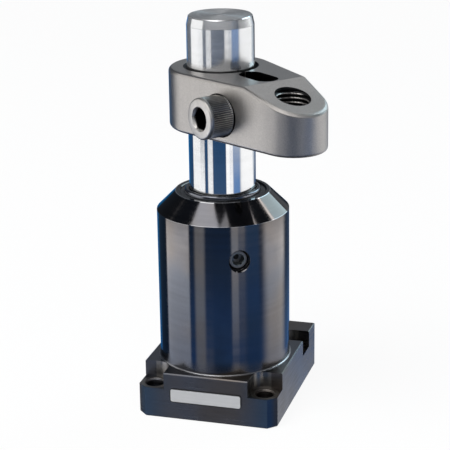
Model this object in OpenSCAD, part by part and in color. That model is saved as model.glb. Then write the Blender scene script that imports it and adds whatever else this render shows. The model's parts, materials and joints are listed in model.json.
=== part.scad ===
// Swing clamp cylinder: a hydraulic, spring-return cylinder on a lower flange, with its clamp arm.
// Millimetres. The origin is on the plunger axis at the underside of the flange. +Z is up, -Y is the front.
// It is drawn with the arm swung in and not yet clamped: from here the plunger rises and turns to open,
// or goes straight down to clamp.

/* [Flange] */
// Width of the flange, along X
flange_w = 69; // [67:0.5:80]
// Plunger axis to the front face
flange_front = 34.5; // [33.5:0.5:45]
// Plunger axis to the rear face, which has the oil port
flange_rear = 46.5; // [44:0.5:70]
// Height of the flange
flange_h = 23.25; // [20:0.25:30]
// Chamfer on the two upright front corners
flange_chamfer = 4; // [1:0.5:5]
// Bevel round the flange's upper and lower edges
flange_bevel = 0.5; // [0.2:0.1:1]
// Spacing of the four mounting bolts, both ways
bolt_spacing = 55; // [54:0.5:57]
// Diameter of the bolt holes
bolt_hole_d = 8.4; // [6.6:0.2:9]
// Diameter of the milled seat round each bolt hole
bolt_seat_d = 13.4; // [12:0.2:14]
// Thickness of the flange under the bolt heads
bolt_seat_h = 15; // [12:0.25:17]

/* [Cylinder] */
// Outside diameter of the cylinder
body_d = 63.5; // [61:0.5:66]
// Base to the rim where the cone starts
body_h = 97.75; // [94:0.25:120]
// Rise of the 45 degree cone on top
cone_h = 9; // [7:0.25:9.5]
// Fillet where the cylinder meets the flange
foot_r = 0.8; // [0.3:0.1:1.2]
// Diameter of the cylinder's bore
cylinder_d = 45; // [43:0.25:46]

/* [Strokes] */
// Straight travel that clamps
clamp_stroke = 12.7; // [6:0.1:14]
// Travel over which the arm swings
swing_stroke = 15.2; // [8:0.1:17]
// Angle that the arm swings through, in degrees
swing_angle = 90; // [0:5:90]

/* [Plunger] */
// Diameter of the plunger
plunger_d = 31.75; // [30:0.25:33]
// How far the plunger stands out above the arm
plunger_out = 24; // [8:0.5:50]
// Length of the taper at the plunger's top
lead_h = 4.3; // [2:0.1:6]
// How far that taper runs in, on the radius
lead_in = 1.1; // [0.5:0.1:2]
// Length of the piston
piston_l = 12; // [11:0.25:14]

/* [Clamp arm] */
// Direction that the arm points, from +X in degrees
arm_angle = -39; // [-180:1:180]
// Gap between the cylinder's neck and the arm's underside
arm_gap = 31.75; // [16:0.25:45]
// Thickness of the arm
arm_t = 28.5; // [26:0.25:34]
// Radius of the arm's round end, about the plunger
arm_r = 24.5; // [22.5:0.25:28]
// Plunger axis to the centre of the nose
arm_l = 56.5; // [54:0.5:80]
// Radius of the nose
nose_r = 15; // [13:0.25:18]
// Plunger axis to the crease where the top starts to slope
crease_u = 42; // [41.5:0.25:46]
// Slope of the nose's top face, in degrees
nose_slope = 17.5; // [5:0.5:22]
// Rounding of the arm's edges
arm_round = 2; // [0.5:0.25:3]
// Plunger axis to the threaded hole for the contact bolt
contact_u = 55.5; // [54:0.5:58]
// Thread diameter of that hole
contact_d = 16; // [12:1:18]
// Width of the relief slot
slot_w = 11.3; // [8:0.1:12]
// Plunger axis to the centre of the slot's near end
slot_near = 24.3; // [23.5:0.1:26]
// Plunger axis to the centre of the slot's far end
slot_far = 35.4; // [33:0.1:35.8]
// Width of the slit from the slot to the plunger's bore
slit_w = 2; // [1:0.25:4]

/* [Pinch screw] */
// Thread diameter of the pinch screw
pinch_d = 12.7; // [10:0.1:13]
// Diameter of its head
pinch_head_d = 19.05; // [16:0.05:20]
// Height of its head
pinch_head_h = 12.7; // [10:0.1:14]
// Length under its head
pinch_l = 35; // [28:1:36]
// Plunger axis to the screw's axis
pinch_u = 27.5; // [27:0.25:28.5]
// Arm's underside to the screw's axis
pinch_z = 13; // [12:0.25:15]
// Width across the flats of its hex socket
pinch_socket = 9.53; // [8:0.01:10]

/* [Fittings] */
// Thread diameter of the lock screw that holds the guide bush
lock_d = 10; // [8:1:12]
// Its direction, from +X in degrees
lock_angle = -60; // [-75:1:-45]
// Guide bush's lower end to the lock screw's axis
lock_rise = 6.2; // [6:0.1:9]
// How deep the screw sits below the cylinder's surface
lock_recess = 3; // [1:0.25:4]
// Width across the flats of its hex socket
lock_socket = 5; // [4:0.5:6]
// Thread diameter of the oil port
port_d = 13.2; // [9:0.1:14]
// Depth of the oil port's thread
port_l = 11; // [8:0.5:12]
// Width of the label plate
label_w = 35.6; // [20:0.2:40]
// Height of the label plate
label_h = 7.2; // [5:0.1:9]
// Thickness of the label plate
label_t = 0.4; // [0.2:0.1:1]
// Corner radius of the label plate
label_r = 1.6; // [0.5:0.1:2]

/* [Hidden] */
$fn = 96;

// Small amounts: a running fit and a seated fit on the radius, a push past a face and a machined edge break
running = 0.05;
seated = 0.02;
past = 1;
edge = 0.5;

body_r = body_d / 2;
cylinder_r = cylinder_d / 2;
plunger_r = plunger_d / 2;
neck_z = body_h + cone_h;
hex_ratio = 2 / sqrt(3);
bolt_bevel = 0.7;

// End cap and its retaining ring, from the base up
ring_t = 1.75;
ring_z = 1.75;
ring_bite = 1.4;
ring_w = 3.4;
ring_gap = 8;
ring_lug_r = 2.6;
ring_eye_r = 1;
cap_t = 9.5;
cap_step = 1;
cap_r = cylinder_r + cap_step;
cap_z = ring_z + ring_t;
cap_top = cap_z + cap_t;
cap_boss_h = 2;
cord_r = 1.1;
cord_room = 1.3;
cord_z = cap_top - 4;
key_r = 1.5;
key_h = 3;
key_angle = 200;

// Return spring and what stands on it
wire_r = 1.75;
coil_r = 13.5;
coil_dead = 0.75;
coil_live = 3;
coil_fit = 0.45;
coil_sides = 8;
coil_steps = 20;
spring_margin = 0.5;
spring_solid = 2 * wire_r * (2 * coil_dead + coil_live);
seat_z = cap_top + spring_solid + spring_margin + clamp_stroke;
seat_t = 2.5;
seat_r = coil_r + 2 * wire_r;
seat_lip = 1.8;
washer_t = 1.5;

// Piston, guide bush and seals
piston_z = seat_z + seat_t + washer_t;
piston_top = piston_z + piston_l;
piston_r = cylinder_r - running;
groove_depth = 4;
wear_groove_depth = 2;
wear_z = piston_z + 1.5;
wear_h = 3;
seal_z = wear_z + wear_h + 1;
seal_h = piston_top - 2 - seal_z;
chamber_margin = 1.3;
bush_z = piston_top + swing_stroke + chamber_margin;
bush_wall = 3.1;
guide_r = plunger_r + running + bush_wall;
wiper_w = 4.7;
wiper_r = plunger_r + running + wiper_w;
wiper_h = 5.5;
wiper_z = neck_z - wiper_h;
wiper_lip_h = 1.55;
wiper_lip_w = 2.2;
wiper_heel = 1;
rib_h = 3.6;
rib_gap = 0.5;
rod_seal_h = 5.5;
rod_seal_z = wiper_z - rib_h - rod_seal_h;
cup_depth = 0.55;

// Guide post, balls and cage
post_r = 7.6;
post_gap = 0.8;
post_over = 6;
stud_r = 5;
stud_hole_gap = 0.1;
nut_h = 4;
nut_flats = 17;
nut_room = 1.2;
ball_r = 2.5;
ball_gap = 0.1;
ball_count = 3;
ball_z = piston_z + piston_l / 2;
cage_r = 13;
cage_gap = 1;
cage_h = piston_l - edge;
track_r = ball_r + ball_gap;
track_lift = 0.9;
track_axis_r = post_r + track_lift;
track_sides = 10;
track_steps = 14;
post_top = ball_z + swing_stroke + post_over;
post_room = 3;
plunger_bore_end = post_top + clamp_stroke + post_room;

// Oil passages and vent
gallery_d = 3.5;
gallery_r = (cap_r + ring_bite + body_r) / 2;
gallery_top = bush_z - gallery_d / 2;
port_z = flange_h / 2;
port_drill_d = 6;
plug_h = 5;
vent_x = -16;
vent_z = cap_top + 3.5;
vent_d = 9;
vent_depth = 5;
vent_drill_d = 3;
vent_rim = 1.2;

// Label plate, a little above the middle of the front face
label_height = 0.53;
label_z = flange_h * label_height;

// Lock screw
lock_z = bush_z + lock_rise;
lock_point_ratio = 0.6;
lock_point_r = lock_d / 2 * lock_point_ratio;
lock_point_l = 2;
lock_socket_h = 4;
lock_face_r = body_r - lock_recess;

// Arm
arm_z = neck_z + arm_gap;
plunger_top = arm_z + arm_t + plunger_out;
side_angle = acos((arm_r - nose_r) / arm_l);
arm_bore_r = plunger_r + seated;
arm_bore_bevel = 1.9;
contact_bevel = 0.6;
round_steps = 4;
rear_steps = 36;
nose_steps = 28;
pinch_gap = 0.25;
pinch_seat_r = pinch_head_d / 2 + edge;
pinch_seat_skim = 0.1;
pinch_seat_v = side_v(pinch_u + pinch_seat_r) - pinch_seat_skim;
pinch_socket_h = pinch_head_h / 2;
pinch_bevel = 1;

function side_v(u, inset = 0) = (arm_r - inset - u * cos(side_angle)) / sin(side_angle);

// Tubes swept along paths about Z: each path point is an angle, a radius and a height
function on_axis(p) = [p[1] * cos(p[0]), p[1] * sin(p[0]), p[2]];
function outward(p) = [cos(p[0]), sin(p[0]), 0];
function unit(v) = v / norm(v);
function heading(path, i) =
    unit(on_axis(path[min(i + 1, len(path) - 1)]) - on_axis(path[max(i - 1, 0)]));
function level_out(p, t) = unit(outward(p) - t * (outward(p) * t));
function tube_ring(p, t, n, r, sides) = [
    for (j = [0 : sides - 1])
        let (a = 360 * j / sides)
        on_axis(p) + r * (cos(a) * n + sin(a) * cross(t, n))
];

module tube(path, r, sides) {
    rings = len(path);
    points = [
        for (i = [0 : rings - 1])
            let (t = heading(path, i))
            each tube_ring(path[i], t, level_out(path[i], t), r, sides)
    ];
    walls = [
        for (i = [0 : rings - 2], j = [0 : sides - 1])
            let (a = i * sides + j, b = i * sides + (j + 1) % sides)
            each [[a, a + sides, b], [b, a + sides, b + sides]]
    ];
    near_end = [for (j = [0 : sides - 1]) j];
    far_end = [for (j = [sides - 1 : -1 : 0]) (rings - 1) * sides + j];
    polyhedron(points, concat(walls, [near_end, far_end]));
}

// A ring turned about Z, from its inner and outer radius
module turned_ring(inner, outer, z, h) {
    translate([0, 0, z])
        difference() {
            cylinder(r = outer, h = h);
            translate([0, 0, -past])
                cylinder(r = inner, h = h + 2 * past);
        }
}

// Places children with their Z along an outward direction at an angle about the plunger axis
module radially(angle, r, z) {
    rotate([0, 0, angle])
        translate([r, 0, z])
            rotate([0, 90, 0])
                children();
}

module hexagon(flats, h) {
    cylinder(d = flats * hex_ratio, h = h, $fn = 6);
}

// Flange
function flange_points(inset) =
    let (
        x = flange_w / 2 - inset,
        front = -flange_front + inset,
        rear = flange_rear - inset,
        c = flange_chamfer - inset * (2 - sqrt(2))
    )
    [[-x, rear], [-x, front + c], [-x + c, front], [x - c, front], [x, front + c], [x, rear]];

module flange_block() {
    hull() {
        linear_extrude(flange_h)
            polygon(flange_points(flange_bevel));
        translate([0, 0, flange_bevel])
            linear_extrude(flange_h - 2 * flange_bevel)
                polygon(flange_points(0));
    }
}

// The two front seats open to the front and the side, the two rear ones to the side only
module bolt_cut(side, end) {
    seat_r = bolt_seat_d / 2;
    reach = flange_w;
    translate([side * bolt_spacing / 2, end * bolt_spacing / 2, 0])
        mirror([side > 0 ? 0 : 1, 0, 0]) {
            translate([0, 0, -past])
                cylinder(d = bolt_hole_d, h = flange_h);
            translate([0, 0, bolt_seat_h - bolt_bevel])
                cylinder(d1 = bolt_hole_d, d2 = bolt_hole_d + 4 * bolt_bevel, h = 2 * bolt_bevel);
            translate([0, 0, bolt_seat_h]) {
                cylinder(r = seat_r, h = flange_h);
                if (end < 0) {
                    translate([0, -reach, 0])
                        cube([reach, reach + seat_r, flange_h]);
                    translate([-seat_r, -reach, 0])
                        cube([reach, reach, flange_h]);
                } else {
                    translate([0, -seat_r, 0])
                        cube([reach, bolt_seat_d, flange_h]);
                }
            }
        }
}

module bolt_cuts() {
    for (side = [-1, 1], end = [-1, 1])
        bolt_cut(side, end);
}

// Cylinder with its cone, and the fillet at its foot
module barrel() {
    rotate_extrude()
        polygon([[0, 0], [body_r, 0], [body_r, body_h], [body_r - cone_h, neck_z], [0, neck_z]]);
    rotate_extrude()
        translate([body_r, flange_h])
            difference() {
                translate([-past, -past])
                    square(foot_r + past);
                translate([foot_r, foot_r])
                    circle(foot_r);
            }
}

// Stepped bore: end cap, cylinder, guide bush, rib and wiper seat
module inner_bores() {
    rib_r = plunger_r + rib_gap;
    rib_z = wiper_z - rib_h;
    rotate_extrude()
        polygon([[0, -past], [cap_r, -past], [cap_r, cap_top], [cylinder_r, cap_top], [cylinder_r, bush_z],
            [guide_r, bush_z], [guide_r, rib_z], [rib_r, rib_z], [rib_r, wiper_z], [wiper_r, wiper_z],
            [wiper_r, neck_z - edge], [wiper_r + edge, neck_z], [wiper_r + edge, neck_z + past],
            [0, neck_z + past]]);
    turned_ring(cylinder_r, cap_r + ring_bite, ring_z, ring_t);
}

module oil_passages() {
    translate([0, flange_rear, port_z])
        rotate([90, 0, 0]) {
            translate([0, 0, -past])
                cylinder(d = port_d, h = port_l + past);
            cylinder(d1 = port_d + 2 * edge, d2 = port_d, h = edge);
            cylinder(d = port_drill_d, h = flange_rear - gallery_r);
        }
    translate([0, gallery_r, -past])
        cylinder(d = gallery_d, h = gallery_top + past);
    radially(90, cylinder_r - past, gallery_top - gallery_d / 2)
        cylinder(d = gallery_d, h = gallery_r - cylinder_r + past);
}

module vent_passage() {
    translate([vent_x, flange_rear, vent_z])
        rotate([90, 0, 0]) {
            translate([0, 0, -past])
                cylinder(d = vent_d, h = vent_depth + past);
            cylinder(d = vent_drill_d, h = flange_rear - cylinder_r / 2);
        }
}

module lock_hole() {
    radially(lock_angle, guide_r - past, lock_z)
        cylinder(d = lock_d + 4 * running, h = body_r);
    radially(lock_angle, body_r - edge, lock_z)
        cylinder(d1 = lock_d + 4 * running, d2 = lock_d + 4 * edge, h = 2 * edge);
}

module key_slot(r) {
    rotate([0, 0, key_angle])
        translate([cap_r, 0, cap_z])
            cylinder(r = r, h = key_h);
}

module body() {
    color("#34363b")
        difference() {
            union() {
                flange_block();
                barrel();
            }
            bolt_cuts();
            inner_bores();
            oil_passages();
            vent_passage();
            lock_hole();
            key_slot(key_r + running);
        }
}

module guide_bush() {
    length = rod_seal_z - bush_z;
    color("#b08d57")
        difference() {
            turned_ring(plunger_r + running, guide_r, bush_z, length);
            radially(lock_angle, guide_r - lock_point_l, lock_z)
                cylinder(r = lock_point_r + running, h = lock_point_l + past);
        }
}

// U-cup, open towards the oil below
module rod_seal() {
    inner = plunger_r + running;
    outer = guide_r;
    lip = (outer - inner) / 3;
    notch = rod_seal_h * cup_depth;
    color("#3f6b4f")
        rotate_extrude()
            polygon([[inner, rod_seal_z], [inner + lip, rod_seal_z], [inner + lip, rod_seal_z + notch],
                [outer - lip, rod_seal_z + notch], [outer - lip, rod_seal_z], [outer, rod_seal_z],
                [outer, rod_seal_z + rod_seal_h], [inner, rod_seal_z + rod_seal_h]]);
}

// Its lip stands out of the neck and bears on the plunger
module rod_wiper() {
    inner = plunger_r + running;
    heel = inner + wiper_heel;
    lip_z = neck_z + wiper_lip_h;
    color("#1c1c1e")
        rotate_extrude()
            polygon([[heel, wiper_z], [wiper_r, wiper_z], [wiper_r, neck_z - 2 * edge],
                [wiper_r - edge, neck_z - edge], [inner + wiper_lip_w, neck_z - edge],
                [inner + wiper_lip_w, lip_z - edge], [inner + wiper_lip_w / 2, lip_z], [inner, lip_z],
                [inner, neck_z], [heel, neck_z - wiper_lip_w]]);
}

module lock_screw() {
    length = lock_face_r - guide_r - running;
    color("#26272a")
        radially(lock_angle, guide_r + running, lock_z)
            difference() {
                union() {
                    translate([0, 0, -lock_point_l])
                        cylinder(r = lock_point_r, h = lock_point_l + edge);
                    cylinder(d = lock_d, h = length - edge);
                    translate([0, 0, length - edge])
                        cylinder(d1 = lock_d, d2 = lock_d - 2 * edge, h = edge);
                }
                translate([0, 0, length - lock_socket_h])
                    hexagon(lock_socket, lock_socket_h + past);
            }
}

module end_cap() {
    cord_groove_r = cap_r - 2 * (cord_r + seated);
    recess_r = nut_flats * hex_ratio / 2 + nut_room;
    recess_h = nut_h + edge;
    boss_r = coil_r - wire_r - coil_fit;
    color("#7d8187")
        difference() {
            union() {
                turned_ring(stud_r + stud_hole_gap, cap_r - seated, cap_z, cap_t);
                turned_ring(stud_r + stud_hole_gap, boss_r, cap_top - past, cap_boss_h + past);
            }
            translate([0, 0, cap_z - past])
                cylinder(r = recess_r, h = recess_h + past);
            turned_ring(cord_groove_r, cap_r + past, cord_z - cord_room * cord_r, 2 * cord_room * cord_r);
            key_slot(key_r + running);
        }
}

module cap_o_ring() {
    color("#141414")
        rotate_extrude()
            translate([cap_r - seated - cord_r, cord_z])
                circle(cord_r, $fn = 32);
}

// Internal circlip with an eye at each end
module retaining_ring() {
    outer = cap_r + ring_bite - running;
    lug_r = outer - ring_w;
    lug_x = ring_gap / 2 + ring_lug_r;
    color("#55585d")
        translate([0, 0, ring_z])
            linear_extrude(ring_t)
                difference() {
                    union() {
                        difference() {
                            circle(outer);
                            circle(outer - ring_w);
                        }
                        intersection() {
                            circle(outer);
                            for (side = [-1, 1])
                                translate([side * lug_x, -lug_r])
                                    circle(ring_lug_r);
                        }
                    }
                    translate([-ring_gap / 2, -outer - past])
                        square([ring_gap, outer]);
                    for (side = [-1, 1])
                        translate([side * lug_x, -lug_r])
                            circle(ring_eye_r);
                }
}

// Round key, half in the cap and half in the flange, that stops the cap and the post from turning
module cap_key() {
    color("#9a9ea4")
        key_slot(key_r);
}

// Path of a ball on the guide post: straight while clamping, then round while the arm swings
function track_path(start) = concat(
    [[start, track_axis_r, ball_z - clamp_stroke - ball_r]],
    [for (i = [0 : track_steps])
        [start + swing_angle * i / track_steps, track_axis_r, ball_z + swing_stroke * i / track_steps]],
    [[start + swing_angle * (1 + ball_r / swing_stroke), track_axis_r, ball_z + swing_stroke + ball_r]]
);

module cam_post() {
    boss_top = cap_top + cap_boss_h;
    stud_z = cap_z + edge;
    color("#8d9299")
        difference() {
            union() {
                translate([0, 0, boss_top])
                    cylinder(r = post_r, h = post_top - boss_top - edge);
                translate([0, 0, post_top - edge])
                    cylinder(r1 = post_r, r2 = post_r - edge, h = edge);
                translate([0, 0, stud_z])
                    cylinder(r = stud_r, h = boss_top - stud_z + edge);
            }
            for (i = [0 : ball_count - 1])
                tube(track_path(360 * i / ball_count), track_r, track_sides);
        }
}

module post_nut() {
    color("#6f7378")
        translate([0, 0, cap_z + edge])
            difference() {
                hexagon(nut_flats, nut_h);
                translate([0, 0, -past])
                    cylinder(r = stud_r + stud_hole_gap, h = nut_h + 2 * past);
            }
}

// Closes the drilled end of the oil gallery
module gallery_plug() {
    color("#9a9ea4")
        translate([0, gallery_r, edge])
            cylinder(d = gallery_d - 2 * seated, h = plug_h);
}

// Sintered vent for the spring's side of the piston
module breather() {
    outer = vent_d / 2 - seated;
    recess = vent_d / 4;
    drill = vent_drill_d / 2;
    color("#a9885a")
        translate([vent_x, flange_rear, vent_z])
            rotate([90, 0, 0])
                rotate_extrude()
                    polygon([[0, vent_rim], [recess, vent_rim], [recess, edge], [vent_d / 2 - 2 * edge, edge],
                        [outer, 2 * edge], [outer, vent_depth], [drill, vent_depth],
                        [drill, vent_depth - edge], [0, vent_depth - edge]]);
}

module label_plate() {
    color("#b9bcc0")
        translate([0, -flange_front, label_z])
            rotate([90, 0, 0])
                linear_extrude(label_t) {
                    square([label_w, label_h - 2 * label_r], center = true);
                    square([label_w - 2 * label_r, label_h], center = true);
                    for (x = [-1, 1], y = [-1, 1])
                        translate([x * (label_w / 2 - label_r), y * (label_h / 2 - label_r)])
                            circle(label_r, $fn = 32);
                }
}

// Wire's height at a number of turns: closed coils at both ends, open ones between
function coil_z(turn) =
    let (
        pitch = 2 * wire_r,
        dead_h = coil_dead * pitch,
        live_h = seat_z - cap_top - 2 * wire_r - 2 * dead_h
    )
    cap_top + wire_r + (
        turn < coil_dead ? turn * pitch
        : turn < coil_dead + coil_live ? dead_h + live_h * (turn - coil_dead) / coil_live
        : dead_h + live_h + (turn - coil_dead - coil_live) * pitch
    );

module return_spring() {
    turns = 2 * coil_dead + coil_live;
    path = [
        for (i = [0 : turns * coil_steps])
            [360 * i / coil_steps, coil_r, coil_z(i / coil_steps)]
    ];
    color("#6b6f76")
        tube(path, wire_r, coil_sides);
}

// Stands on the spring and doesn't turn, with a lip that centres the coil
module spring_seat() {
    inner = post_r + cage_gap;
    lip_r = coil_r - wire_r - coil_fit;
    color("#8d9299")
        union() {
            turned_ring(inner, seat_r, seat_z, seat_t);
            turned_ring(inner, lip_r, seat_z - seat_lip, seat_lip + edge);
        }
}

// Lets the plunger turn on the seat
module thrust_washer() {
    color("#b08d57")
        turned_ring(post_r + cage_gap, seat_r, seat_z + seat_t, washer_t);
}

module plunger() {
    bore_r = post_r + post_gap;
    color("#d5d8dc")
        difference() {
            rotate_extrude()
                polygon([[0, piston_z], [piston_r - edge, piston_z], [piston_r, piston_z + edge],
                    [piston_r, piston_top - edge], [piston_r - edge, piston_top], [plunger_r, piston_top],
                    [plunger_r, plunger_top - lead_h], [plunger_r - lead_in + edge / 2, plunger_top - edge],
                    [plunger_r - lead_in - edge / 2, plunger_top], [0, plunger_top]]);
            turned_ring(piston_r - groove_depth, piston_r + past, seal_z, seal_h);
            turned_ring(piston_r - wear_groove_depth, piston_r + past, wear_z, wear_h);
            translate([0, 0, piston_z - past])
                cylinder(r = cage_r, h = cage_h + past);
            translate([0, 0, piston_z])
                cylinder(r = bore_r, h = plunger_bore_end - piston_z);
            translate([0, 0, plunger_bore_end])
                cylinder(r1 = bore_r, r2 = 0, h = bore_r / sqrt(3));
        }
}

// U-cup, open towards the oil above
module piston_seal() {
    inner = piston_r - groove_depth;
    outer = piston_r;
    lip = groove_depth / 3;
    notch = seal_h * cup_depth;
    top = seal_z + seal_h;
    color("#3f6b4f")
        rotate_extrude()
            polygon([[inner, seal_z], [outer, seal_z], [outer, top], [outer - lip, top],
                [outer - lip, top - notch], [inner + lip, top - notch], [inner + lip, top], [inner, top]]);
}

module wear_ring() {
    color("#7a4a32")
        turned_ring(piston_r - wear_groove_depth, piston_r, wear_z, wear_h);
}

// Holds the balls in the piston, round the guide post
module ball_cage() {
    color("#b08d57")
        difference() {
            turned_ring(post_r + cage_gap, cage_r, piston_z, cage_h);
            for (i = [0 : ball_count - 1])
                radially(360 * i / ball_count, 0, ball_z)
                    cylinder(r = ball_r + ball_gap, h = cage_r + past);
        }
}

// Drawn against the cage's outer wall, just clear of the post
module guide_balls() {
    color("#e4e6ea")
        for (i = [0 : ball_count - 1])
            rotate([0, 0, 360 * i / ball_count])
                translate([cage_r - running - ball_r, 0, ball_z])
                    sphere(ball_r, $fn = 48);
}

// Arm outline in its own axes, anticlockwise: round end, side, nose and the other side
function arm_outline(inset) = concat(
    [for (i = [0 : rear_steps])
        let (a = side_angle + (360 - 2 * side_angle) * i / rear_steps)
        (arm_r - inset) * [cos(a), sin(a)]],
    [[crease_u, -side_v(crease_u, inset)]],
    [for (i = [0 : nose_steps])
        let (a = -side_angle + 2 * side_angle * i / nose_steps)
        [arm_l, 0] + (nose_r - inset) * [cos(a), sin(a)]],
    [[crease_u, side_v(crease_u, inset)]]
);
function arm_top(u) = arm_t - max(0, u - crease_u) * tan(nose_slope);
function lower_ring(a) = [
    for (p = arm_outline(arm_round * (1 - sin(a))))
        [p[0], p[1], arm_round * (1 - cos(a))]
];
function upper_ring(a) = [
    for (p = arm_outline(arm_round * (1 - sin(a))))
        [p[0], p[1], arm_top(p[0]) - arm_round * (1 - cos(a))]
];

module arm_blank() {
    count = len(arm_outline(0));
    levels = 2 * (round_steps + 1);
    top = (levels - 1) * count;
    first_crease = rear_steps + 1;
    last_crease = count - 1;
    points = concat(
        [for (i = [0 : round_steps]) each lower_ring(90 * i / round_steps)],
        [for (i = [round_steps : -1 : 0]) each upper_ring(90 * i / round_steps)]
    );
    walls = [
        for (k = [0 : levels - 2], i = [0 : count - 1])
            let (a = k * count + i, b = k * count + (i + 1) % count)
            each [[a, a + count, b], [b, a + count, b + count]]
    ];
    underside = [for (i = [0 : count - 1]) i];
    flat_top = [for (i = [first_crease : -1 : 0]) top + i];
    sloped_top = [for (i = [last_crease : -1 : first_crease]) top + i];
    polyhedron(points, concat(walls, [underside, concat([top + last_crease], flat_top), sloped_top]));
}

module relief_slot() {
    for (u = [slot_near, slot_far])
        translate([u, 0, -past])
            cylinder(d = slot_w, h = arm_t + 2 * past);
    translate([slot_near, -slot_w / 2, -past])
        cube([slot_far - slot_near, slot_w, arm_t + 2 * past]);
    translate([0, -slit_w / 2, -past])
        cube([slot_near, slit_w, arm_t + 2 * past]);
}

// Clearance hole and head seat on one cheek, threaded hole through the other
module pinch_cuts() {
    translate([pinch_u, -pinch_seat_v, pinch_z])
        rotate([90, 0, 0]) {
            cylinder(r = pinch_seat_r, h = arm_r);
            translate([0, 0, -pinch_seat_v])
                cylinder(d = pinch_d + 2 * pinch_gap, h = pinch_seat_v + past);
            translate([0, 0, -pinch_seat_v - arm_r])
                cylinder(d = pinch_d + 2 * seated, h = arm_r + past);
        }
}

module arm_bores() {
    translate([0, 0, -past])
        cylinder(r = arm_bore_r, h = arm_t + 2 * past);
    translate([0, 0, arm_t - arm_bore_bevel])
        cylinder(r1 = arm_bore_r, r2 = arm_bore_r + arm_bore_bevel + edge, h = arm_bore_bevel + edge);
    translate([contact_u, 0, -past])
        cylinder(d = contact_d, h = arm_t + 2 * past);
    translate([contact_u, 0, -contact_bevel])
        cylinder(d1 = contact_d + 4 * contact_bevel, d2 = contact_d, h = 2 * contact_bevel);
}

// Places children in the arm's own axes
module on_arm() {
    translate([0, 0, arm_z])
        rotate([0, 0, arm_angle])
            children();
}

module clamp_arm() {
    color("#9c9a97")
        on_arm()
            difference() {
                arm_blank();
                arm_bores();
                relief_slot();
                pinch_cuts();
            }
}

module pinch_screw() {
    face_d = pinch_head_d - 2 * pinch_bevel;
    tip_d = pinch_d - 2 * pinch_bevel;
    color("#2b2c30")
        on_arm()
            translate([pinch_u, -pinch_seat_v, pinch_z])
                rotate([90, 0, 0])
                    difference() {
                        union() {
                            cylinder(d = pinch_head_d, h = pinch_head_h - pinch_bevel);
                            translate([0, 0, pinch_head_h - pinch_bevel])
                                cylinder(d1 = pinch_head_d, d2 = face_d, h = pinch_bevel);
                            translate([0, 0, -pinch_l + pinch_bevel])
                                cylinder(d = pinch_d, h = pinch_l);
                            translate([0, 0, -pinch_l])
                                cylinder(d1 = tip_d, d2 = pinch_d, h = pinch_bevel);
                        }
                        translate([0, 0, pinch_head_h - pinch_socket_h])
                            hexagon(pinch_socket, pinch_socket_h + past);
                    }
}

body();
guide_bush();
rod_seal();
rod_wiper();
lock_screw();
end_cap();
cap_o_ring();
retaining_ring();
cap_key();
cam_post();
post_nut();
gallery_plug();
breather();
label_plate();
return_spring();
spring_seat();
thrust_washer();
plunger();
piston_seal();
wear_ring();
ball_cage();
guide_balls();
clamp_arm();
pinch_screw();
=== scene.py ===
"""Looks of a swing clamp cylinder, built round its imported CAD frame.

The file is laid out as an add-on and run as a script. Sizes are in metres in the frame's own axes:
the origin is on the plunger axis at the underside of the flange, +Z is up and -Y is the front.
"""

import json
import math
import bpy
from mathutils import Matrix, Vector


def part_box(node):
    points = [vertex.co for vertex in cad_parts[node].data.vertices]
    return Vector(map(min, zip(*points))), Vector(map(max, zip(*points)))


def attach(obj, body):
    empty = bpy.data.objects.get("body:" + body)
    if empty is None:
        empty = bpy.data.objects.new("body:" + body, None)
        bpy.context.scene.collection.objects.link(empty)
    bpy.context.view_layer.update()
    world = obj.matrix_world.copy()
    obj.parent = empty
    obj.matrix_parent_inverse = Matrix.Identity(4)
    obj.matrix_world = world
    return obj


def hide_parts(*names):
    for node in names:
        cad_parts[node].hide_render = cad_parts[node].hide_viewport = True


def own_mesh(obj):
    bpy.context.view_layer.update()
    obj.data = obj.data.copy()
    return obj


bl_info = {
    "name": "Swing Clamp Cylinder",
    "version": (1, 0, 0),
    "blender": (4, 5, 0),
    "location": "3D View > Sidebar > Clamp",
    "description": "Finishes, threads, screws and stage of a hydraulic swing clamp cylinder",
    "category": "Object",
}

import bmesh
import bpy
import numpy as np
from bpy.props import FloatProperty, FloatVectorProperty, IntProperty, PointerProperty
from mathutils import Matrix, Quaternion, Vector

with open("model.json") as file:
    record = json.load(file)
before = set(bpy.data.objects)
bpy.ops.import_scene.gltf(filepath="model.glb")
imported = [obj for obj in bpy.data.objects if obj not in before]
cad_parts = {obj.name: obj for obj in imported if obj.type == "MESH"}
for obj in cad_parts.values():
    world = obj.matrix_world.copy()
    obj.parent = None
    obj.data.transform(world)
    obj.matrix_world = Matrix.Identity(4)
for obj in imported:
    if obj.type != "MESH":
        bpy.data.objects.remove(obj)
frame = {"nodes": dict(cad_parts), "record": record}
NODES = frame["nodes"]
MOUNTS = {m["name"]: m for m in frame["record"]["mounts"]}
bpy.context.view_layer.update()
UP = Vector((0, 0, 1))

# Places on the solids where a finish changes. A pair holds a lower and an upper limit, or an inner and an outer radius.
FLANGE_TOP = 0.02325
NECK_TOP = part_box("body")[1].z
ARM_BOTTOM, ARM_TOP = (corner.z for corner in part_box("clamp_arm"))
PLUNGER_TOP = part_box("plunger")[1].z
FLANGE_EDGE = (FLANGE_TOP + 0.0002, FLANGE_TOP + 0.0008)
FLANGE_FRONT = (-0.0335, -0.031)
FLANGE_ENDS = (0.014, 0.033)
FOOT_RING = (0.03182, 0.0325)
FOOT_RISE = (FLANGE_TOP - 0.00005, FLANGE_TOP + 0.00075)
FOOT_COARSE = (FLANGE_TOP + 0.001, FLANGE_TOP + 0.008)
SHOULDER_RIM = (0.0976, 0.09793)
NECK_FACE = (NECK_TOP - 0.0003, NECK_TOP - 0.0002)
NECK_LAND = (0.0195, 0.0224)
NECK_EDGE = (0.02245, 0.0231)
BOLT_AT = 0.0275
BOLT_MOUTH = (0.0042, 0.00492)
BOLT_MOUTH_RISE = (0.0142, 0.0151)
BOLT_POCKET = (0.00682, 0.0069)
BOLT_POCKET_FLOOR = (0.0148, 0.0149)
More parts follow.
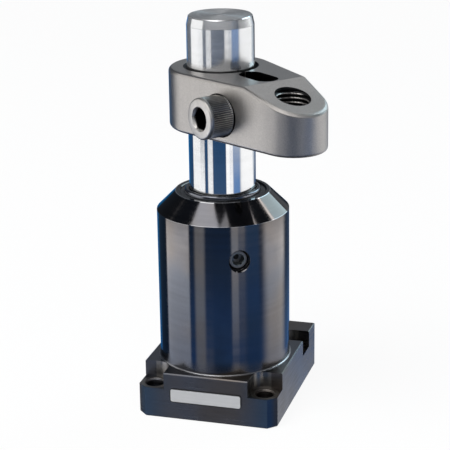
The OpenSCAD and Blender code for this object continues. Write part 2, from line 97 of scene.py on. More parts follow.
BOLT_POCKET_TOP = (FLANGE_TOP - 0.0001, FLANGE_TOP)
PLUNGER_FACE = (PLUNGER_TOP - 0.0002, PLUNGER_TOP - 0.0001)
PLUNGER_LEAD = (PLUNGER_TOP - 0.00455, PLUNGER_TOP - 0.00425)
# Band where the plunger enters the arm, which carries a painted shade line.
PLUNGER_ENTRY_SHADE = (ARM_TOP - 0.002, ARM_TOP + 0.0005)
PLUNGER_TURNED = (ARM_TOP - 0.002, ARM_TOP)
ARM_BORE = (0.0176, 0.01785)
SLOT_AT, SLOT_HALF = 0.02985, 0.00555
SLOT_WALL = (0.00566, 0.0058)
NOSE_AT = 0.0555
NOSE_WALL = (0.00802, 0.00815)
NOSE_CREST = (0.0071, 0.0075)
NOSE_COARSE = (0.05, 0.06)
SEAT_WALL = (0.01003, 0.0102)
SEAT_SIDE = (-0.014, -0.013)
LOCK_HOLE_R, LOCK_HOLE_MOUTH = 0.0051, 0.0303
LABEL_CORNER = 0.0013

# The room that the metal mirrors, in degrees: azimuth runs from the front to the right, and rise upwards.
# Layers over the ground: the rise where each one starts and is full, and its colour's name on the stage.
ROOM_LAYERS = ((-29, -25.5, "cloth"), (-23.5, -19, "gap"), (-18, -16, "room"), (-14, -12.5, "ceiling"))
BACK_SIDE, BACK_FOOT, BACK_HEAD, BACK_LIT = (146, 160), (-4, 6), (62, 75), (24, 38)
DIM_RISE, DIM_TINT = (-26, -20), (0.42, 0.48, 0.62)
# Panels, each over the ones before it: middle, half width, soft edge, low end, high end, and the colour. The colour is
# given in numbers, by its name on the stage, or as a share of the panel light.
PANELS = (
    (10, 60, 20, 14, 42, (0.5, 0.51, 0.53)),
    (66.5, 14, 4, -30, 2, "side_wall"),
    (64, 17, 6, -16.4, -12.4, (0.55, 0.58, 0.63)),
    (-118, 16, 3, -45, -16, (0.03, 0.06, 0.11)),
    (-152, 16, 6, -45, 0, (0.01, 0.16, 0.42)),
    (-74, 27.5, 2, -18.2, 35, 0.74),
    (-74, 27.5, 2, -36, -17.8, 1.05),
    (-74, 27.5, 2, -20.4, -17.6, 2.0),
    (-54, 10, 3, -15.9, -12.8, (0.03, 0.07, 0.14)),
    (-20, 16, 4, -42, -23.7, 0.8),
    (-25, 9, 1.5, -18.4, -14.2, 0.85),
    (-25, 9, 1.5, -13.2, -8, 1.1),
    (-26.5, 9, 3.5, -30, -17.8, 0.62),
    (46, 9, 6, -22.8, -8, (0.3, 0.38, 0.55)),
    (35.5, 6, 1.5, -22.6, -8, 0.85),
    (45, 8.5, 1.5, -18.6, -14.2, 0.85),
    (45, 8.5, 1.5, -13.2, -8, 1.0),
    (117, 36, 5, -18.2, 6, 0.82),
    (119, 25, 12, -36, -17.8, 1.0),
    (119, 27, 8, -20.4, -17.6, 1.75),
    (155, 8, 8, -17, 2, (0.5, 0.56, 0.64)),
    (-33, 35, 1.5, 44, 85, 1.75),
    (17, 19, 4, 44, 85, 0.9625),
    (51, 4.5, 1.2, 44, 85, 0.7),
    (100, 2, 0.8, 44, 60, 1.75),
    (147, 14, 1.5, 12, 46, (1.85, 2.5, 2.85)),
    (131, 1.8, 0.6, 25, 46, 3.5),
)
PANEL_FADE = 1.2
# The window in which metal mirrors the white background, laid out as a panel
BACKGROUND = (163, 20, 6, -60, -24)
WHITE = (1.0, 1.0, 1.0, 1.0)


def length(name, text, default):
    """A size in metres that a user may change."""
    return FloatProperty(name=name, description=text, default=default, unit="LENGTH", precision=5)


def angle(name, text, degrees):
    """An angle that a user may change."""
    return FloatProperty(name=name, description=text, default=math.radians(degrees), subtype="ANGLE")


def point(name, text, default):
    """A place that a user may change."""
    return FloatVectorProperty(name=name, description=text, default=default, subtype="TRANSLATION")


def colour(name, text, default):
    """A linear colour that a user may change."""
    return FloatVectorProperty(name=name, description=text, default=default, subtype="COLOR", size=3, min=0, max=1)


class ClampSizes(bpy.types.PropertyGroup):
    """Sizes of the pieces that are made here"""

    arm_angle: angle("Arm direction", "Direction of the arm, from +X", -39)
    pinch_out: length("Pinch screw out", "Plunger axis to the pinch screw's axis", 0.0275)
    pinch_up: length("Pinch screw up", "Arm's underside to the pinch screw's axis", 0.013)
    pinch_seat: length("Pinch screw seat", "Arm's middle plane to the seat under the screw's head", 0.018353)
    head_d: length("Head diameter", "Diameter of the pinch screw's head", 0.01905)
    head_h: length("Head height", "Height of the pinch screw's head", 0.0127)
    shank_d: length("Shank diameter", "Thread diameter of the pinch screw", 0.0127)
    shank_l: length("Shank length", "Length under the pinch screw's head", 0.035)
    shank_pitch: length("Screw pitch", "Thread pitch of the pinch screw", 0.00195)
    head_socket: length("Socket width", "Width across the flats of the pinch screw's socket", 0.00953)
    knurl_ridges: IntProperty(name="Knurl ridges", description="Ridges round the screw's head", default=60, min=12)
    knurl_depth: length("Knurl depth", "Depth of the grooves between the ridges", 0.00045)
    nose_pitch: length("Nose pitch", "Thread pitch of the hole in the arm's nose", 0.002)
    crease_out: length("Crease out", "Plunger axis to the crease on the arm's top", 0.042)
    nose_slope: angle("Nose slope", "Slope of the nose's top face", 17.5)
    lock_angle: angle("Lock screw direction", "Direction of the lock screw, from +X", -60)
    lock_d: length("Lock screw diameter", "Thread diameter of the lock screw", 0.010)
    lock_pitch: length("Lock screw pitch", "Thread pitch of the lock screw", 0.0015)
    lock_socket: length("Lock socket", "Width across the flats of the lock screw's socket", 0.005)
    lock_face: length("Lock screw face", "Plunger axis to the lock screw's outer face", 0.02875)
    lock_end: length("Lock screw end", "Plunger axis to the end of the lock screw's thread", 0.01908)
    wiper_inner: length("Wiper inside", "Inner radius of the wiper's lip", 0.015925)
    wiper_lip: length("Wiper lip", "Thickness of the wiper's lip", 0.0022)
    port_pitch: length("Port pitch", "Thread pitch of the oil port", 0.001337)
    coil_r: length("Coil radius", "Middle radius of the return spring", 0.0135)
    wire_r: length("Wire radius", "Radius of the return spring's wire", 0.00175)
    coil_turns: FloatProperty(name="Coil turns", description="Turns of the spring, closed ends included", default=4.5)
    coil_closed: FloatProperty(name="Closed turns", description="Turns that lie closed at each end", default=0.75)


class ClampFinishes(bpy.types.PropertyGroup):
    """Colours of the finishes"""

    black_oxide: colour("Black oxide", "Oxide film on the body and flange", (0.135, 0.13, 0.134))
    # Steel tone that is painted along the body's foot, rim and neck edge as a highlight.
    edge_highlight: colour("Worn edge", "Steel that shows where the oxide is worn off", (0.5, 0.5, 0.51))
    ground_steel: colour("Ground steel", "Ground plunger", (0.86, 0.865, 0.87))
    satin_steel: colour("Satin steel", "Clamp arm", (0.51, 0.484, 0.458))
    # Dark colour that is painted into slots, holes, sockets and thread roots as shade.
    recess_shade: colour("Cavity", "Oil and oxide in slots and holes", (0.02, 0.02, 0.021))
    screw_black: colour("Screw black", "Oxide film on the pinch screw", (0.43, 0.42, 0.405))
    screw_face: colour("Screw face", "Bare end face of the pinch screw", (0.78, 0.75, 0.71))
    lock_black: colour("Lock screw black", "Oxide film on the lock screw", (0.2, 0.2, 0.205))
    lock_bare: colour("Lock screw bare", "Bare end face of the lock screw", (0.36, 0.4, 0.4))
    wiper_rubber: colour("Wiper rubber", "Rubber of the wiper and the O-ring", (0.012, 0.013, 0.015))
    polyurethane: colour("Polyurethane", "U-cup seals", (0.06, 0.2, 0.11))
    bronze: colour("Bronze", "Bush, cage, washer and vent", (0.62, 0.42, 0.2))
    machined_steel: colour("Machined steel", "End cap, post, nut and seat", (0.56, 0.57, 0.59))
    # On the wiper's lip this colour is used for a painted sheen band.
    spring_steel: colour("Spring steel", "Spring wire, retaining ring and wiper's case", (0.25, 0.26, 0.29))
    wear_resin: colour("Wear resin", "Guide ring of the piston", (0.3, 0.14, 0.07))
    label_metal: colour("Label metal", "Anodised face of the label plate", (0.6, 0.6, 0.6))
    label_edge: colour("Label edge", "Line round the label plate", (0.02, 0.02, 0.022))


class ClampStage(bpy.types.PropertyGroup):
    """Camera and light"""

    camera_place: point("Camera place", "Where the camera stands", (0.2055, -0.6922, 0.3278))
    camera_aim: point("Camera aim", "Point that the camera looks at", (0.0008, 0.0002, 0.0885))
    camera_roll: angle("Camera roll", "Turn of the camera about its view", -0.85)
    lens: FloatProperty(name="Lens", description="Focal length on a 36 mm sensor", default=126.35, unit="CAMERA")
    room: colour("Room", "Dark room round the panels", (0.0143, 0.063, 0.16))
    gap: colour("Gap", "Dark gap between the room and the cloth", (0.06, 0.1, 0.18))
    cloth: colour("Cloth", "Blue cloth below eye level", (0.13, 0.3, 0.65))
    side_wall: colour("Side wall", "Blue wall on the right", (0.1, 0.23, 0.5))
    back_wall: colour("Back wall", "Grey wall behind the object", (0.21, 0.23, 0.255))
    back_light: colour("Back light", "Upper part of the wall behind the object", (0.6, 0.62, 0.65))
    ceiling: colour("Ceiling", "Room overhead", (0.03, 0.037, 0.05))
    ground: colour("Ground", "Grey ground that the underside reflects", (0.07, 0.075, 0.085))
    floor: colour("Floor", "Floor under the object", (0.85, 0.85, 0.85))
    floor_r: length("Floor radius", "Radius of the floor", 6.0)
    floor_glow: FloatProperty(name="Floor glow", description="White that the camera sees in the floor", default=0.92)
    panel_light: FloatProperty(name="Panel light", description="Brightness of the panels", default=1.35)
    key_place: point("Key place", "Where the soft lamp hangs", (-0.5, -0.8, 1.5))
    key_size: length("Key size", "Diameter of the soft lamp", 1.2)
    key_power: FloatProperty(name="Key power", description="Power of the soft lamp overhead", default=22, unit="POWER")


# Surfaces


def smooth_object(name, mesh, merge, crease, grid=False):
    """Object of a mesh: points closer than merge become one, and faces that meet at less than the crease angle are
    shaded smooth. A grid also loses its empty faces and has its faces turned outwards."""
    shape = bmesh.new()
    shape.from_mesh(mesh)
    bmesh.ops.remove_doubles(shape, verts=shape.verts, dist=merge)
    if grid:
        bmesh.ops.dissolve_degenerate(shape, edges=shape.edges, dist=1e-8)
        bmesh.ops.recalc_face_normals(shape, faces=shape.faces)
    shape.to_mesh(mesh)
    shape.free()
    mesh.shade_smooth()
    mesh.set_sharp_from_angle(angle=crease)
    piece = bpy.data.objects.new(name, mesh)
    bpy.context.scene.collection.objects.link(piece)
    return piece


def surface_object(name, points):
    """Mesh of a grid of points: each cell of the rows and columns is one face, and points that fall together are
    merged, which closes seams and poles."""
    rows, columns = points.shape[:2]
    index = np.arange(rows * columns).reshape(rows, columns)
    quads = np.stack([index[:-1, :-1], index[:-1, 1:], index[1:, 1:], index[1:, :-1]], axis=-1).reshape(-1, 4)
    mesh = bpy.data.meshes.new(name)
    mesh.from_pydata(points.reshape(-1, 3), [], quads)
    return smooth_object(name, mesh, merge=2e-7, crease=math.radians(32), grid=True)


def smooth_copy(name, node):
    """Merged copy of a CAD node's mesh, shaded smooth between its creases."""
    mesh = NODES[node].data.copy()
    mesh.name = name
    mesh.attributes.remove(mesh.attributes["custom_normal"])
    piece = smooth_object(name, mesh, merge=1e-6, crease=math.radians(16))
    weigh = piece.modifiers.new("flat faces stay flat", "WEIGHTED_NORMAL")
    weigh.keep_sharp = True
    return piece


def heading(turn):
    """Level direction at an angle from +X."""
    return Vector((math.cos(turn), math.sin(turn), 0))


def angles(count):
    """A full turn in equal steps, the first angle repeated at the end."""
    return np.linspace(0, 2 * np.pi, count + 1)


def round_points(radius, along, turn, centre, axis, start):
    """Point (k, j) = centre + along * axis + radius * (cos(turn) * start + sin(turn) * axis x start)."""
    axis, start = np.array(axis, float), np.array(start, float)
    side = np.cross(axis, start)
    ring = np.cos(turn)[..., None] * start + np.sin(turn)[..., None] * side
    return np.array(centre, float) + along[..., None] * axis + radius[..., None] * ring


def turned_object(name, rows, turn, centre=(0, 0, 0), axis=UP, start=(1, 0, 0)):
    """Mesh of a profile carried round an axis, as in round_points. Each row of the profile is a radius and a height,
    as a number or one value per angle."""
    radius = np.array([np.broadcast_to(r, turn.size) for r, _ in rows], float)
    along = np.array([np.broadcast_to(h, turn.size) for _, h in rows], float)
    return surface_object(name, round_points(radius, along, turn, centre, axis, start))


def hexagon_radius(turn, flats):
    """Distance to a hexagon's side: half its width over the cosine of the angle from the middle of that side."""
    sector = np.pi / 3
    return flats / 2 / np.cos((turn + sector / 2) % sector - sector / 2)


def thread_share(turn, along, pitch, flat=0.15):
    """How far a thread stands from its root, 0 to 1: a triangle wave of (along / pitch - turns), cut flat at both
    ends."""
    phase = (along / pitch - turn / (2 * np.pi)) % 1
    return np.clip((1 - np.abs(2 * phase - 1) - flat) / (1 - 2 * flat), 0, 1)


def socket_rows(turn, flats, depth, face, rim):
    """Rows of a hex socket from the middle of its floor to the rim of the screw's face: a drilled cone, six flat walls,
    and a round countersink."""
    wall = hexagon_radius(turn, flats)
    cone, lip = flats * 0.2, flats * 0.05
    mouth = flats / math.sqrt(3) * 1.04
    sink = (mouth - wall) * 0.6
    return [
        (0, face - depth - cone),
        (wall * 0.86, face - depth),
        (wall, face - depth),
        (wall, face - lip - sink),
        (mouth, face),
        (rim, face),
    ]


def thread_rows(turn, start, end, crest, root, pitch, steps=8):
    """Rows of an outside thread between two heights, with a short lead where it starts and ends."""
    count = int(abs(end - start) / pitch * steps)
    heights = np.linspace(start, end, count)
    lead = np.clip(np.minimum(np.abs(heights - start), np.abs(heights - end)) / pitch, 0, 1)
    return [(root + (crest - root) * np.maximum(thread_share(turn, h, pitch), 1 - s), h) for h, s in zip(heights, lead)]


def bevel_rows(outer, inner, low, high, steps=5):
    """Quarter round from the inner radius at the high end to the outer radius at the low end."""
    t = np.linspace(0, np.pi / 2, steps)
    return list(zip(inner + (outer - inner) * np.sin(t), low + (high - low) * np.cos(t)))


def inside_thread(name, wall, pitch, depth, low, high, centre, axis, start, columns=120, steps=9, sunk=0.00005):
    """Closed sleeve that lines a threaded hole. Its inner side is wall - depth * thread share, running out at both
    mouths; its outer side is sunk a little into the hole's wall. Low and high give the mouths for each angle."""
    turn = angles(columns)
    low, high = np.broadcast_to(low, turn.shape), np.broadcast_to(high, turn.shape)
    count = int((high - low).max() / pitch * steps)
    share = np.linspace(0, 1, count)[:, None]
    along = low + (high - low) * share
    runout = np.clip(np.minimum(along - low, high - along) / (0.9 * pitch), 0, 1)
    inner = wall - depth * thread_share(turn, along, pitch) * runout
    outer = np.full((1, columns + 1), wall + sunk)
    radius = np.vstack([inner, outer, outer, inner[:1]])
    along = np.vstack([along, along[-1:], along[:1], along[:1]])
    return surface_object(name, round_points(radius, along, turn, centre, axis, start))


# Node helpers


class Tree:
    """Adds nodes to a node tree. A value for an input is a number, a colour or another node's output."""

    def __init__(self, tree):
        self.tree = tree

    def add(self, kind, inputs=None, **settings):
        """Adds a node with its settings and inputs, and returns it."""
        node = self.tree.nodes.new(kind)
        for key, value in settings.items():
            setattr(node, key, value)
        for key, value in (inputs or {}).items():
            self.feed(node.inputs[key], value)
        return node

    def feed(self, socket, value):
        """Links an output to an input, or sets the input's own value."""
        if isinstance(value, bpy.types.NodeSocket):
            self.tree.links.new(value, socket)
        else:
            socket.default_value = value

    def math(self, operation, *values):
        """Output of a Math node."""
        node = self.add("ShaderNodeMath", operation=operation)
        for socket, value in zip(node.inputs, values):
            self.feed(socket, value)
        return node.outputs[0]

    def less(self, value, amount):
        """A value less an amount."""
        return self.math("SUBTRACT", value, amount)

    def times(self, first, *others):
        """Product of some values."""
        for value in others:
            first = self.math("MULTIPLY", first, value)
        return first

    def either(self, first, *others):
        """Largest of some masks."""
        for mask in others:
            first = self.math("MAXIMUM", first, mask)
        return first

    def ramp(self, value, low, high, to_low=0.0, to_high=1.0):
        """Smooth step of a value between two limits."""
        numbers = {"Value": value, "From Min": low, "From Max": high, "To Min": to_low, "To Max": to_high}
        return self.add("ShaderNodeMapRange", numbers, interpolation_type="SMOOTHSTEP").outputs["Result"]

    def mix(self, share, a, b):
        """Colour between a and b."""
        return self.add("ShaderNodeMix", {0: share, 6: a, 7: b}, data_type="RGBA").outputs[2]

    def blend(self, share, a, b):
        """Number between a and b."""
        return self.add("ShaderNodeMix", {0: share, 2: a, 3: b}, data_type="FLOAT").outputs[0]

    def tint(self, a, b):
        """Two colours multiplied."""
        return self.add("ShaderNodeVectorMath", {0: a, 1: b}, operation="MULTIPLY").outputs[0]

    def parts(self, vector):
        """X, Y and Z of a vector."""
        return self.add("ShaderNodeSeparateXYZ", {"Vector": vector}).outputs

    def away(self, a, b):
        """Length of the step whose two parts are a and b."""
        step = self.add("ShaderNodeCombineXYZ", {"X": a, "Y": b}).outputs[0]
        return self.add("ShaderNodeVectorMath", {0: step}, operation="LENGTH").outputs["Value"]

    def seen(self):
        """1 for what the camera sees, straight or through something clear."""
        path = self.add("ShaderNodeLightPath").outputs
        return self.either(path["Is Camera Ray"], path["Is Transmission Ray"])

    def noise(self, vector, scale, detail=2.0, roughness=0.5):
        """Noise texture's value."""
        numbers = {"Vector": vector, "Scale": scale, "Detail": detail, "Roughness": roughness}
        return self.add("ShaderNodeTexNoise", numbers).outputs["Fac"]


def opaque(rgb):
    """A colour with its alpha."""
    return (*rgb, 1.0)


def scaled(rgb, factor):
    """A colour made lighter or darker, with its alpha."""
    return opaque([min(1.0, c * factor) for c in rgb])


def effect(name, inputs, outputs):
    """Starts a shader node group with named inputs and their defaults, and named number outputs. Returns it with its
    helper, its input node's sockets and its output node's sockets."""
    group = bpy.data.node_groups.new(name, "ShaderNodeTree")
    for label, default in inputs.items():
        kind = "NodeSocketFloat" if isinstance(default, float) else "NodeSocketVector"
        group.interface.new_socket(label, in_out="INPUT", socket_type=kind).default_value = default
    for label in outputs:
        group.interface.new_socket(label, in_out="OUTPUT", socket_type="NodeSocketFloat")
    tree = Tree(group)
    return group, tree, tree.add("NodeGroupInput").outputs, tree.add("NodeGroupOutput").inputs


def turned_marks():
    """Fine rings about Z: noise of the distance from the axis and the height, nearly constant round a ring."""
    inputs = {"Vector": (0.0, 0.0, 0.0), "Rings per metre": 3000.0}
    group, t, given, out = effect("Turned marks", inputs, ["Height", "Tone"])
    xyz = t.parts(given["Vector"])
    radius = t.away(xyz["X"], xyz["Y"])
    round_bit = t.times(t.math("ARCTAN2", xyz["Y"], xyz["X"]), 0.0004)
    ring = t.add("ShaderNodeCombineXYZ", {"X": radius, "Y": xyz["Z"], "Z": round_bit}).outputs[0]
    t.feed(out["Height"], t.noise(ring, given["Rings per metre"], 3.0, 0.6))
    t.feed(out["Tone"], t.noise(ring, t.times(given["Rings per metre"], 0.17), 2.0, 0.55))
    return group


def brushed_grain():
    """Straight hairlines: noise that is drawn out along one axis and fine across it."""
    inputs = {"Vector": (0.0, 0.0, 0.0), "Stretch": (1.0, 1.0, 1.0)}
    group, t, given, out = effect("Brushed grain", inputs, ["Height", "Tone"])
    place = t.tint(given["Vector"], given["Stretch"])
    t.feed(out["Height"], t.noise(place, 1.0, 3.0, 0.65))
    t.feed(out["Tone"], t.noise(place, 0.23, 2.0, 0.5))
    return group


def handling():
    """Faint clouds and smudges left by oil and handling."""
    inputs = {"Vector": (0.0, 0.0, 0.0), "Size": 60.0}
    group, t, given, out = effect("Handling", inputs, ["Cloud", "Speck"])
    cloud = t.noise(given["Vector"], given["Size"], 4.0, 0.6)
    speck = t.noise(given["Vector"], t.times(given["Size"], 40.0), 2.0, 0.5)
    t.feed(out["Cloud"], t.ramp(cloud, 0.35, 0.7))
    t.feed(out["Speck"], t.ramp(speck, 0.66, 0.78))
    return group


def light_panel():
    """Soft-edged window of a panel, from the azimuth and rise of a direction in degrees."""
    numbers = ("Azimuth", "Rise", "Centre", "Half width", "Edge", "Low", "High")
    group, t, given, out = effect("Light panel", dict.fromkeys(numbers, 0.0), ["Mask"])
    away = t.math("ABSOLUTE", t.less(given["Azimuth"], given["Centre"]))
    near, far = (t.math(op, given["Half width"], given["Edge"]) for op in ("SUBTRACT", "ADD"))
    across = t.ramp(away, near, far, 1.0, 0.0)
    foot = t.ramp(given["Rise"], given["Low"], t.math("ADD", given["Low"], PANEL_FADE))
    head = t.ramp(given["Rise"], t.less(given["High"], PANEL_FADE), given["High"], 1.0, 0.0)
    t.feed(out["Mask"], t.times(across, foot, head))
    return group


GROUPS = {}


class Finish(Tree):
    """A material's node tree with its Principled shader."""

    def __init__(self, name, **sockets):
        self.material = bpy.data.materials.new(name)
        self.material.use_nodes = True
        super().__init__(self.material.node_tree)
        self.shader = self.tree.nodes["Principled BSDF"]
        self.set(**sockets)
        self.coords = self.add("ShaderNodeTexCoord").outputs
        self.place = self.coords["Object"]
        self.xyz = self.parts(self.place)

    def set(self, **sockets):
        """Feeds the shader's inputs by name."""
        for key, value in sockets.items():
            self.feed(self.shader.inputs[key.replace("_", " ")], value)

    def group(self, name, **inputs):
        """Places a shared effect and returns its outputs."""
        node = self.add("ShaderNodeGroup", node_tree=GROUPS[name])
        self.feed(node.inputs["Vector"], self.place)
        for key, value in inputs.items():
            self.feed(node.inputs[key.replace("_", " ")], value)
        return node.outputs

    def bump(self, height, depth, strength):
        """Feeds the shader's normal from a height whose full step is a depth in metres."""
        node = self.add("ShaderNodeBump", {"Height": height, "Strength": strength, "Distance": depth})
        self.set(Normal=node.outputs["Normal"])

    def along(self, direction):
        """Distance along a direction from the origin."""
        node = self.add("ShaderNodeVectorMath", {0: self.place, 1: direction}, operation="DOT_PRODUCT")
        return node.outputs["Value"]

    def past(self, value, amount):
        """How far a value's size goes beyond an amount, or 0."""
        return self.either(self.less(self.math("ABSOLUTE", value), amount), 0.0)

    def within(self, value, low, high):
        """1 below a lower limit, 0 above an upper one."""
        return self.ramp(value, low, high, 1.0, 0.0)

    def band(self, value, low, high, edge=0.0001):
        """1 between two limits, 0 outside them."""
        return self.times(self.ramp(value, low - edge, low + edge), self.within(value, high - edge, high + edge))

    def tones(self, share, rgb, low, high):
        """A colour between a darker and a lighter tone of itself."""
        return self.mix(share, scaled(rgb, low), scaled(rgb, high))

    def round_tangent(self, share):
        """Draws highlights out across marks that run round Z."""
        self.set(Anisotropic=share, Anisotropic_Rotation=0.25)
        self.set(Tangent=self.add("ShaderNodeTangent", direction_type="RADIAL", axis="Z").outputs[0])


def coat(nodes, material):
    """Gives CAD nodes a material."""
    for name in nodes:
        slots = NODES[name].data.materials
        slots.clear()
        slots.append(material)


def settle(piece, body, slot, material, *replaced):
    """Gives a new piece its material and body, and hides the CAD nodes that it stands for. The slot is not used."""
    piece.data.materials.append(material)
    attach(piece, body)
    if replaced:
        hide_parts(*replaced)


# Finishes


def black_oxide_finish(rgb, bare):
    """Oxide film on turned and milled steel: fine rings on the cylinder and cone, milled lines on the flange, a painted
    blue reflection on the ends of its front, painted highlights in a bare-steel tone along the rim, the foot and the
    neck's edge, and rougher rims at the bolt holes."""
    f = Finish("black_oxide", Metallic=1.0)
    rings = f.group("Turned marks", Rings_per_metre=2600.0)
    lines = f.group("Brushed grain", Stretch=(260.0, 260.0, 5200.0))
    marks = f.group("Handling", Size=48.0)
    x, y, z = (f.xyz[axis] for axis in "XYZ")
    radius = f.away(x, y)
    flange = f.within(z, *FLANGE_EDGE)
    tone = f.blend(flange, rings["Tone"], lines["Tone"])
    shade = f.tones(tone, rgb, 0.86, 1.14)
    shade = f.mix(f.times(marks["Cloud"], 0.25), shade, scaled(rgb, 0.75))
    heat = f.ramp(f.noise(f.place, 22.0, 2.0, 0.5), 0.35, 0.65)
    film = f.mix(heat, (0.88, 0.98, 1.12, 1.0), (1.12, 1.02, 0.9, 1.0))
    # Painted reflection: the ends of the flange's front get a blue tint, as if they mirrored blue surroundings.
    painted_blue_ends = f.times(flange, f.ramp(f.math("ABSOLUTE", x), *FLANGE_ENDS), f.within(y, *FLANGE_FRONT))
    shade = f.tint(shade, f.mix(painted_blue_ends, film, (0.62, 1.02, 1.45, 1.0)))
    bolt = f.away(*(f.less(f.math("ABSOLUTE", value), BOLT_AT) for value in (x, y)))
    pocket = f.times(f.within(bolt, *BOLT_POCKET), f.ramp(z, *BOLT_POCKET_FLOOR), f.within(z, *BOLT_POCKET_TOP))
    shade = f.mix(f.times(pocket, 0.6), shade, (0.36, 0.34, 0.315, 1.0))
    top = f.ramp(z, *NECK_FACE)
    shade = f.mix(f.times(f.band(radius, *NECK_LAND), top), shade, scaled(rgb, 0.2))
    # Painted highlights: thin lines in a bare-steel tone along the foot's fillet, the shoulder rim and the neck's edge.
    foot = f.times(f.band(radius, *FOOT_RING, edge=0.00005), f.band(z, *FOOT_RISE))
    foot = f.times(foot, f.ramp(marks["Cloud"], 0.0, 1.0, 1.0, 0.35))
    rim = f.times(f.band(z, *SHOULDER_RIM), 0.4)
    neck = f.times(f.band(radius, *NECK_EDGE, edge=0.00008), top, 0.7)
    f.set(Base_Color=f.mix(f.either(foot, rim, neck), shade, opaque(bare)))
    gloss = f.blend(flange, f.ramp(tone, 0.3, 0.7, 0.07, 0.11), f.ramp(tone, 0.3, 0.7, 0.26, 0.38))
    gloss = f.math("ADD", gloss, f.times(marks["Cloud"], 0.04))
    coarse = f.less(f.within(z, *FOOT_COARSE), flange)
    gloss = f.math("ADD", gloss, f.times(coarse, 0.2))
    mouth = f.times(f.band(bolt, *BOLT_MOUTH, edge=0.00008), f.band(z, *BOLT_MOUTH_RISE, edge=0.00005))
    f.set(Roughness=f.blend(mouth, gloss, 0.5))
    f.round_tangent(0.55)
    f.bump(f.blend(flange, rings["Height"], lines["Height"]), 0.000003, 0.5)
    return f.material


def ground_steel_finish(rgb):
    """Bright plunger: polished below the arm, finely turned above it, with a dull end face whose colour is darkened as
    painted shade, and painted dark lines where the taper starts and where the plunger enters the arm.
    """
    f = Finish("ground_steel")
    rings = f.group("Turned marks", Rings_per_metre=3600.0)
    marks = f.group("Handling", Size=40.0)
    z = f.xyz["Z"]
    turned = f.ramp(z, *PLUNGER_TURNED)
    top = f.ramp(z, *PLUNGER_FACE)
    # Painted shade: the end face gets a darker copy of the steel's colour.
    shade = f.mix(top, f.tones(rings["Tone"], rgb, 0.9, 1.05), f.tones(rings["Tone"], rgb, 0.42, 0.85))
    # Painted shade: a faint dark line where the taper starts, and a dark band where the plunger enters the arm, a
    # painted reflection of the dark gap round it.
    painted_shade_lines = f.either(f.times(f.band(z, *PLUNGER_LEAD), 0.3), f.band(z, *PLUNGER_ENTRY_SHADE, edge=0.0002))
    f.set(Base_Color=f.mix(painted_shade_lines, shade, scaled(rgb, 0.2)))
    gloss = f.blend(turned, f.ramp(marks["Cloud"], 0.0, 1.0, 0.05, 0.08), f.ramp(rings["Tone"], 0.3, 0.7, 0.13, 0.19))
    f.set(Roughness=f.blend(top, gloss, 0.34), Metallic=f.blend(turned, 1.0, 0.85))
    f.round_tangent(0.9)
    f.bump(rings["Height"], 0.000003, f.blend(turned, 0.05, 0.4))
    return f.material


def satin_steel_finish(rgb, recess_shade, sizes):
    """Satin arm: blasted grain with faint upright lines, coarser on the nose, rounded edges lightened as a painted
    highlight, and slots, holes, the nose thread's roots and the screw's seat darkened as painted shade."""
    f = Finish("satin_steel", Metallic=1.0)
    lines = f.group("Brushed grain", Stretch=(1900.0, 1900.0, 260.0))
    marks = f.group("Handling", Size=70.0)
    grain = f.noise(f.place, 2600.0, 2.0, 0.6)
    shade = f.tones(f.blend(0.6, lines["Tone"], f.ramp(grain, 0.3, 0.7)), rgb, 0.74, 1.24)
    shade = f.mix(f.times(marks["Cloud"], 0.25), shade, scaled(rgb, 0.84))
    # Painted highlight: rounded edges, whose normals lean between upright and level, get a lighter colour.
    upright = f.parts(f.coords["Normal"])["Z"]
    shade = f.mix(f.times(f.band(upright, 0.3, 0.9, edge=0.1), 0.5), shade, scaled(rgb, 1.5))
    forward = heading(sizes.arm_angle)
    out, side = f.along(forward), f.along(UP.cross(forward))
    # Painted shade: the slot, the bore's chamfer, the nose thread's roots and the seat round the screw's head take the
    # dark recess colour; the thread's crests stay lighter.
    slot = f.within(f.away(f.past(f.less(out, SLOT_AT), SLOT_HALF), side), *SLOT_WALL)
    bore = f.within(f.away(f.xyz["X"], f.xyz["Y"]), *ARM_BORE)
    nose = f.away(f.less(out, NOSE_AT), side)
    hole = f.times(f.within(nose, *NOSE_WALL), f.ramp(nose, *NOSE_CREST, 0.15, 1.0))
    height = f.less(f.xyz["Z"], ARM_BOTTOM + sizes.pinch_up)
    seat = f.within(f.away(f.less(out, sizes.pinch_out), height), *SEAT_WALL)
    seat = f.times(seat, f.within(side, *SEAT_SIDE))
    f.set(Base_Color=f.mix(f.either(slot, bore, hole, seat), shade, opaque(recess_shade)))
    gloss = f.ramp(f.blend(0.5, lines["Tone"], grain), 0.25, 0.75, 0.3, 0.4)
    f.set(Roughness=f.math("ADD", gloss, f.times(f.ramp(out, *NOSE_COARSE), 0.12)))
    f.bump(f.blend(0.6, lines["Height"], grain), 0.00003, 0.7)
    return f.material


